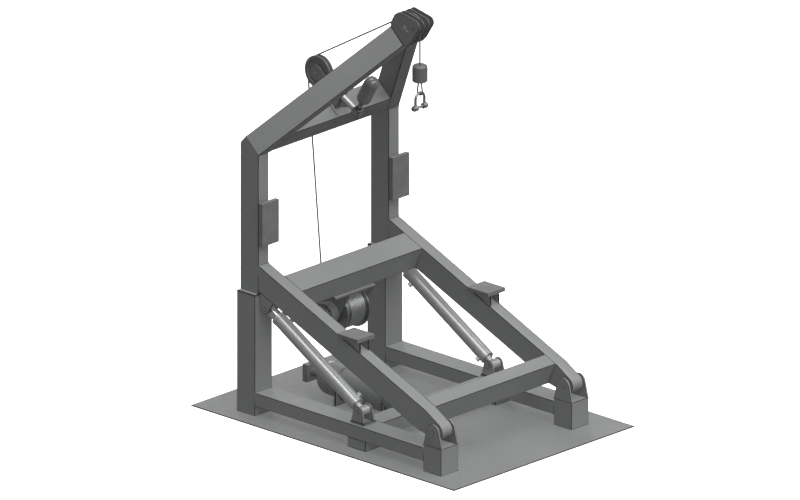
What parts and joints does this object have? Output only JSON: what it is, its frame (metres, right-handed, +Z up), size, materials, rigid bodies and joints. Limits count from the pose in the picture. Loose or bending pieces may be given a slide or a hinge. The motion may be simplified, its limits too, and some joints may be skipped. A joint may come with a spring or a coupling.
{
  "type": "a-frame gantry crane",
  "caption": "Deck-mounted luffing A-frame gantry with winch, rope damper with accumulator, luffing cylinders, head sheaves, ball weight, swivel and shackle.",
  "frame": {"origin": "underside of the deck plate, on the frame's centre plane, at the middle of the plate's length", "axes": "+X across the frame, +Y inboard towards the rear columns, +Z up from the deck"},
  "size_m": [2.62, 3.64, 4.3257],
  "materials": {
    "frame_paint": "satin two-pack marine enamel over blasted steel",
    "fitting_paint": "satin enamel",
    "tank_paint": "gloss enamel",
    "cylinder_paint": "semi-gloss enamel",
    "chromed_steel": "ground hard chrome",
    "machined_steel": "turned steel",
    "galvanised_steel": "hot-dip galvanised",
    "cast_sheave": "machined casting, painted",
    "bearing_bronze": "machined bronze",
    "rubber_pad": "matt moulded rubber",
    "wire_rope": "greased galvanised strand"
  },
  "bodies": {
    "base": {"deck_plate": "frame_paint", "rear_columns": "frame_paint", "column_caps": "frame_paint", "side_rails": "frame_paint", "floor_crossbeam": "frame_paint", "rail_blocks": "frame_paint", "front_feet": "frame_paint", "pivot_cheeks": "frame_paint", "pivot_pins": "machined_steel", "cylinder_clevises": "frame_paint", "clevis_pins": "machined_steel", "gas_tank": "tank_paint", "tank_valve": "fitting_paint", "tank_saddles": "fitting_paint", "tank_bands": "galvanised_steel"},
    "gantry": {"posts": "frame_paint", "a_beams": "frame_paint", "a_crossbeam": "frame_paint", "incline_beams": "frame_paint", "pivot_bushes": "bearing_bronze", "upper_crossbeam": "frame_paint", "lower_crossbeam": "frame_paint", "cylinder_lugs": "frame_paint", "lug_pins": "machined_steel", "landing_brackets": "frame_paint", "landing_tables": "rubber_pad", "bumper_brackets": "frame_paint", "bumper_pads": "rubber_pad", "head_plates": "fitting_paint", "head_axle": "machined_steel", "axle_keepers": "fitting_paint", "keeper_bolts": "machined_steel", "retaining_pins": "machined_steel", "damper_cylinder": "cylinder_paint", "damper_pedestal": "frame_paint", "damper_manifold": "fitting_paint", "accumulator": "tank_paint", "winch_frame": "fitting_paint", "winch_gearbox": "fitting_paint", "winch_motor": "machined_steel", "hoist_rope": "wire_rope"},
    "barrel_left": {"barrel_left": "cylinder_paint"},
    "barrel_right": {"barrel_right": "cylinder_paint"},
    "rod_left": {"rod_left": "chromed_steel"},
    "rod_right": {"rod_right": "chromed_steel"},
    "damper": {"damper_rod": "chromed_steel", "sheave_fork": "fitting_paint", "guide_axle": "machined_steel"},
    "guide_sheave": {"guide_sheave": "cast_sheave"},
    "head_sheave": {"head_sheave": "cast_sheave"},
    "side_sheave_left": {"side_sheave_left": "cast_sheave"},
    "side_sheave_right": {"side_sheave_right": "cast_sheave"},
    "drum": {"winch_drum": "machined_steel", "rope_winding": "wire_rope"},
    "fall": {"rope_fall": "wire_rope"},
    "hook": {"hook_weight": "cast_sheave"},
    "swivel": {"swivel_plate": "galvanised_steel", "hook_bail": "galvanised_steel"},
    "shackle": {"shackle_bow": "galvanised_steel", "shackle_pin": "galvanised_steel"}
  },
  "joints": [
    {"name": "luff", "type": "hinge", "parent": "base", "child": "gantry", "pos_m": [0, -1.325, 0.446], "axis": [1, 0, 0], "range_deg": [0, 60]},
    {"name": "barrel_left_tilt", "type": "hinge", "parent": "base", "child": "barrel_left", "pos_m": [-0.945, -0.25, 0.38], "axis": [1, 0, 0], "range_deg": [0, 70.63]},
    {"name": "barrel_right_tilt", "type": "hinge", "parent": "base", "child": "barrel_right", "pos_m": [0.945, -0.25, 0.38], "axis": [1, 0, 0], "range_deg": [0, 70.63]},
    {"name": "rod_left_stroke", "type": "slide", "parent": "barrel_left", "child": "rod_left", "axis": [0, 0.8583, 0.5131], "range_m": [0, 1.015]},
    {"name": "rod_right_stroke", "type": "slide", "parent": "barrel_right", "child": "rod_right", "axis": [0, 0.8583, 0.5131], "range_m": [0, 1.015]},
    {"name": "fall_swing", "type": "hinge", "parent": "gantry", "child": "fall", "pos_m": [0, -0.01893, 4.17066], "axis": [1, 0, 0], "range_deg": [-60.01, 0.01]},
    {"name": "drum_spin", "type": "hinge", "parent": "gantry", "child": "drum", "pos_m": [0, 1.00214, 0.8916], "axis": [1, 0, 0], "range_deg": [-60, 720], "deforming": ["hoist_rope"]},
    {"name": "hook_slide", "type": "slide", "parent": "fall", "child": "hook", "axis": [0, 0, -1], "range_m": [-0.1995, 2.3881], "deforming": ["rope_fall"]},
    {"name": "head_sheave_spin", "type": "hinge", "parent": "gantry", "child": "head_sheave", "pos_m": [0, -0.01893, 4.17066], "axis": [1, 0, 0], "range_deg": [-98.38, 1179.41]},
    {"name": "side_sheave_left_spin", "type": "hinge", "parent": "gantry", "child": "side_sheave_left", "pos_m": [0, -0.01893, 4.17066], "axis": [1, 0, 0], "continuous": true},
    {"name": "side_sheave_right_spin", "type": "hinge", "parent": "gantry", "child": "side_sheave_right", "pos_m": [0, -0.01893, 4.17066], "axis": [1, 0, 0], "continuous": true},
    {"name": "damper_slide", "type": "slide", "parent": "gantry", "child": "damper", "axis": [0, -0.8729, -0.4879], "range_m": [0, 0.06], "stiffness_N_per_m": 20000, "springref_m": -0.1, "deforming": ["hoist_rope"]},
    {"name": "guide_sheave_spin", "type": "hinge", "parent": "damper", "child": "guide_sheave", "pos_m": [0, 1.256, 3.365], "axis": [1, 0, 0], "range_deg": [-71.35, 855.1]},
    {"name": "swivel_spin", "type": "hinge", "parent": "hook", "child": "swivel", "pos_m": [0, -0.13493, 3.60766], "axis": [0, 0, 1], "continuous": true},
    {"name": "shackle_swing", "type": "hinge", "parent": "swivel", "child": "shackle", "pos_m": [0, -0.13493, 3.46336], "axis": [0, 1, 0], "range_deg": [-30, 30]}
  ],
  "couplings": [
    {"joint": "barrel_left_tilt", "follows": "luff", "ratio": 1.177},
    {"joint": "barrel_right_tilt", "follows": "luff", "ratio": 1.177},
    {"joint": "rod_left_stroke", "follows": "luff", "m_per_rad": 0.96873},
    {"joint": "rod_right_stroke", "follows": "luff", "m_per_rad": 0.96873},
    {"joint": "fall_swing", "follows": "luff", "ratio": -1},
    {"joint": "hook_slide", "follows": "drum_spin", "m_per_rad": 0.19},
    {"joint": "head_sheave_spin", "follows": "drum_spin", "ratio": 1.6379},
    {"joint": "guide_sheave_spin", "follows": "drum_spin", "ratio": 1.1875}
  ]
}
